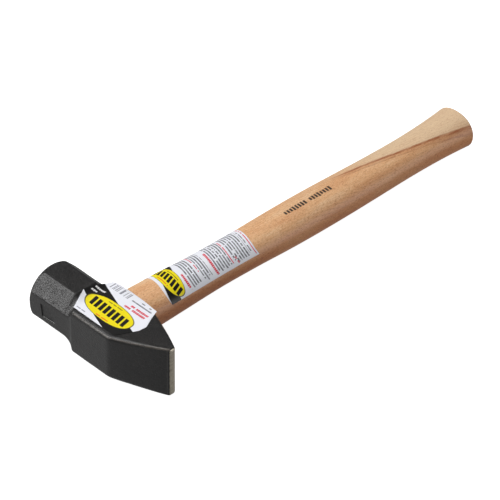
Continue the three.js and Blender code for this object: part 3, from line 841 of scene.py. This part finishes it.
rings = [oval_ring(-21.7, *eye_half(-21.7, 0.08)), oval_ring(-23.0, *eye_half(-23.0, 0.03)), plug_ring(0.012, 1.0, 0.03), plug_ring(0.02, 1.0)]
for s in (0.985, 0.96, 0.9, 0.8, 0.7, 0.6, 0.5, 0.4, 0.3, 0.2, 0.1):
    rings.append(plug_ring(0.02, s))
v, f = skin(rings)
plug = new_object("eye_seal_plug", v, f)
plug.data.set_sharp_from_angle(angle=math.radians(40))
set_material(plug, FORGED)
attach(plug, "root"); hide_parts("eye_seal")

# ---------------------------------------------------------------------------------------------
# handle
# ---------------------------------------------------------------------------------------------
STATIONS = np.array([
    [24.3, 17.9, 1.3], [25.2, 18.9, 1.35], [27.5, 19.5, 1.4], [31, 19.6, 1.45], [38, 19.42, 1.5], [46, 19.2, 1.5],
    [60, 18.75, 1.45], [80, 18.02, 1.3], [100, 17.52, 1.15], [120, 17.4, 0.98], [145, 17.72, 0.64], [170, 18.35, 0.24],
    [200, 18.77, -0.1], [230, 18.64, -0.36], [260, 18.1, -0.66], [290, 17.42, -0.78], [315, 17.16, -0.66],
    [340, 17.5, -0.46], [360, 18.36, -0.27], [372, 19.15, -0.12], [HANDLE_END - 1.6, 19.9, 0.05]])
POWER, RATIO = 2.12, 0.83


def spline(x, col):
    """Monotone-ish cubic (Catmull-Rom on uneven knots) through the stations."""
    X, Y = STATIONS[:, 0], STATIONS[:, col]
    i = int(np.clip(np.searchsorted(X, x) - 1, 0, len(X) - 2))
    h = X[i + 1] - X[i]
    def slope(j):
        if j == 0:
            return (Y[1] - Y[0]) / (X[1] - X[0])
        if j == len(X) - 1:
            return (Y[-1] - Y[-2]) / (X[-1] - X[-2])
        h0, h1 = X[j] - X[j - 1], X[j + 1] - X[j]
        d0, d1 = (Y[j] - Y[j - 1]) / h0, (Y[j + 1] - Y[j]) / h1
        return (d0 * h1 + d1 * h0) / (h0 + h1)
    t = (x - X[i]) / h
    m0, m1 = slope(i) * h, slope(i + 1) * h
    return ((2 * t ** 3 - 3 * t ** 2 + 1) * Y[i] + (t ** 3 - 2 * t ** 2 + t) * m0 +
            (-2 * t ** 3 + 3 * t ** 2) * Y[i + 1] + (t ** 3 - t ** 2) * m1)


def handle_point(x, deg, lift=0.0):
    """Point on the grip at x and at an angle round it (90 = top)."""
    a = math.radians(deg)
    c, s = math.cos(a), math.sin(a)
    k = (abs(c) ** POWER + abs(s) ** POWER) ** (-1 / POWER)
    hy = spline(x, 1)
    wob = 0.10 * noise.noise(Vector((x * 0.03, c * 0.8, s * 0.8)))
    return (x, spline(x, 2) + (hy + lift + wob) * k * c, (hy * RATIO + lift + wob) * k * s)


def build_handle():
    n = 112
    rings = []
    for x in np.linspace(-21.4, 23.7, 14):
        hy, hz = eye_half(min(x, 23.5), 0.12)
        rings.append(oval_ring(x, hy, hz, 2.0, EYE_Y, n))
    xs = [24.3, 24.6, 25.0, 25.6, 26.4, 27.5, 29] + list(np.arange(31, HANDLE_END - 4, 2.0)) + \
        [HANDLE_END - 3.2, HANDLE_END - 2.4, HANDLE_END - 1.9, HANDLE_END - 1.6]
    for x in xs:
        rings.append([mm(*handle_point(x, i / n * 360)) for i in range(n)])
    # softened bevel and the sawn end
    base = [handle_point(HANDLE_END - 1.6, i / n * 360) for i in range(n)]
    my = spline(HANDLE_END - 1.6, 2)
    for dx, dr in ((0.25, 0.10), (0.8, 0.62), (1.3, 1.15), (1.5, 1.42), (1.6, 1.8)):
        rings.append([mm(HANDLE_END - 1.6 + dx, y - dr * (y - my) / math.hypot(y - my, z), z - dr * z / math.hypot(y - my, z)) for _, y, z in base])
    for s in (0.9, 0.75, 0.55, 0.35, 0.15):
        rings.append([mm(HANDLE_END, my + (y - my) * s * 0.905, z * s * 0.89) for _, y, z in base])
    v, f = skin(rings)
    return new_object("handle_hickory", v, f)


def taper_box(x0, x1, a0, b0, a1, b1, y):
    vs = []
    for x, a, b in ((x0, a0, b0), (x1, a1, b1)):
        vs += [mm(x, y + a, b), mm(x, y - a, b), mm(x, y - a, -b), mm(x, y + a, -b)]
    return new_object("cutter", vs, [(0, 1, 2, 3), (7, 6, 5, 4), (0, 4, 5, 1), (1, 5, 6, 2), (2, 6, 7, 3), (3, 7, 4, 0)], smooth=False)


handle = build_handle()
handle_bvh = BVHTree.FromObject(handle, bpy.context.evaluated_depsgraph_get())
top = -23.5 + 1.8 + 0.3
G = 0.28
boolean_cut(handle, [taper_box(top - 2, top + 30 + 2 * G, 30, 2.5 + G, 30, 0.5 + G, EYE_Y)] +
            [taper_box(top - 2, top + 19 + 2 * G, 1.6 + G, 6.5 + G, 0.4 + G, 5.3 + G, EYE_Y + s) for s in (6.4, -6.4)])
for p in handle.data.polygons:
    p.use_smooth = True
handle.data.set_sharp_from_angle(angle=math.radians(50))
set_material(handle, HICKORY)
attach(handle, "root"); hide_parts("handle")

set_material(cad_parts["wood_wedge"], plain_wood_material("wedge_wood", srgb(196, 160, 112), srgb(150, 110, 70)))
steel = wedge_steel_material()
for n in ("steel_wedge_1", "steel_wedge_2"):
    set_material(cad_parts[n], steel)

# ---------------------------------------------------------------------------------------------
# stickers: thin printed sheets, laid on the finished surfaces
# ---------------------------------------------------------------------------------------------
def ease(a, b, t):
    t = min(max((t - a) / (b - a), 0.0), 1.0)
    return t * t * (3 - 2 * t)


def head_top(x, y):
    hit = head_bvh.ray_cast(Vector(mm(x, y, 60)), Vector((0, 0, -1)))[0]
    return hit.z * 1000 - OZ if hit is not None else -99.0


def sticker_z(x, y):
    """Height of the underside of the head's sticker: it follows the cheek, bridges the hollow beside the neck and
    stands a little past the far edge of the block."""
    sec = smooth_section(y, 0.45)
    rise = max(sec[1] + sec[5] - HZ, 0.0)
    side = 1.0 - ease(9.0, 19.5, abs(x)) if y > 0 else 1.0
    z = HZ + rise * side - 0.05
    if x > 22.0:
        z -= 0.035 * (x - 22.0) ** 2
    return max(z, head_top(x, y)) + 0.05


def sheet(name, over, under, uv=None):
    """Closed thin sheet between two grids of points (rows of equal length), with an optional UV for each point."""
    R, Cn = len(over), len(over[0])
    verts = [p for r in over for p in r] + [p for r in under for p in r]
    n = R * Cn
    faces = []
    for i in range(R - 1):
        for j in range(Cn - 1):
            a = i * Cn + j
            faces.append((a, a + 1, a + Cn + 1, a + Cn))
            faces.append((n + a, n + a + Cn, n + a + Cn + 1, n + a + 1))
    for i in range(R - 1):
        a = i * Cn
        faces.append((a, a + Cn, n + a + Cn, n + a))
        a = i * Cn + Cn - 1
        faces.append((a, n + a, n + a + Cn, a + Cn))
    for j in range(Cn - 1):
        faces.append((j, n + j, n + j + 1, j + 1))
        a = (R - 1) * Cn + j
        faces.append((a, a + 1, n + a + 1, n + a))
    ob = new_object(name, verts, faces)
    if uv is not None:
        flat = [q for r in uv for q in r] * 2
        layer = ob.data.uv_layers.new(name="print")
        for l in ob.data.loops:
            layer.data[l.index].uv = flat[l.vertex_index]
    edge = {(i, j) for i in range(R) for j in (0, Cn - 1)} | {(i, j) for j in range(Cn) for i in (0, R - 1)}
    rim = {i * Cn + j for i, j in edge}
    for e in ob.data.edges:
        a, b = e.vertices
        if a % n in rim and b % n in rim:
            e.use_edge_sharp = True
    return ob


# --- on the head: six-sided, pointed towards the poll and towards the peen
LEFT = [(-34.75, 4.2), (-34.2, -2.0), (-31.8, -6.4), (-25.1, -18.7), (20.5, -18.2), (27.5, -1.9)]
RIGHT = [(-34.75, 4.8), (-30.0, 14.1), (-26.0, 23.4), (-17.5, 24.5), (-10.8, 25.2), (0.6, 25.7), (8.5, 25.9), (14.8, 25.7),
         (19.0, 25.1), (21.2, 24.5), (22.9, 23.2), (25.0, 18.0), (27.5, -1.3)]
ys = sorted({round(float(v), 3) for v in list(np.arange(-34.0, 27.4, 0.9)) + [a for a, _ in LEFT] + [a for a, _ in RIGHT]})
over, under = [], []
for y in ys:
    a = float(np.interp(y, [q[0] for q in LEFT], [q[1] for q in LEFT]))
    b = float(np.interp(y, [q[0] for q in RIGHT], [q[1] for q in RIGHT]))
    row = [(a + (b - a) * t, y) for t in np.linspace(0, 1, 52)]
    zs = [sticker_z(x, y) for x, _ in row]
    under.append([mm(x, y, z) for (x, _), z in zip(row, zs)])
    over.append([mm(x, y, z + 0.16) for (x, _), z in zip(row, zs)])
head_sticker = sheet("head_sticker", over, under)
set_material(head_sticker, head_sticker_material())
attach(head_sticker, "root"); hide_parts("head_label")

# --- on the handle: wrapped over the top
WRAP_LENGTH, WRAP_START, WRAP_FROM, WRAP_TO = 92.2, 47.8, 21.0, 159.0
SHIFT = np.polyfit([21, 35, 49, 76, 99, 116, 130, 140, 151, 159], [2.4, 2.5, 2.4, 1.7, 0.1, -0.8, -1.2, -1.05, -0.3, 0.6], 5)


def wrap_shift(deg):
    return float(np.polyval(SHIFT, deg))


_t = np.radians(np.linspace(0, 180, 721))
_k = (np.abs(np.cos(_t)) ** POWER + np.abs(np.sin(_t)) ** POWER) ** (-1 / POWER)
_y, _z = 17.9 * _k * np.cos(_t), 17.9 * RATIO * _k * np.sin(_t)
_s = np.r_[0, np.cumsum(np.hypot(np.diff(_y), np.diff(_z)))]


def wrap_arc(deg):
    """Distance round the grip from its top, in mm, positive towards -Y."""
    return float(np.interp(deg, np.linspace(0, 180, 721), _s) - _s[360])


degs = np.linspace(WRAP_FROM, WRAP_TO, 93)
us = np.linspace(0, WRAP_LENGTH, 64)
over, under, uv = [], [], []
for u in us:
    o, n_, q = [], [], []
    for d in degs:
        x = WRAP_START + wrap_shift(d) + u
        lift = 0.05
        n_.append(mm(*handle_point(x, d, lift)))
        o.append(mm(*handle_point(x, d, lift + 0.16)))
        q.append((u / 100.0, wrap_arc(d) / 100.0))
    over.append(o); under.append(n_); uv.append(q)
handle_sticker = sheet("handle_sticker", over, under, uv)
set_material(handle_sticker, handle_sticker_material())
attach(handle_sticker, "root"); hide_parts("handle_label")
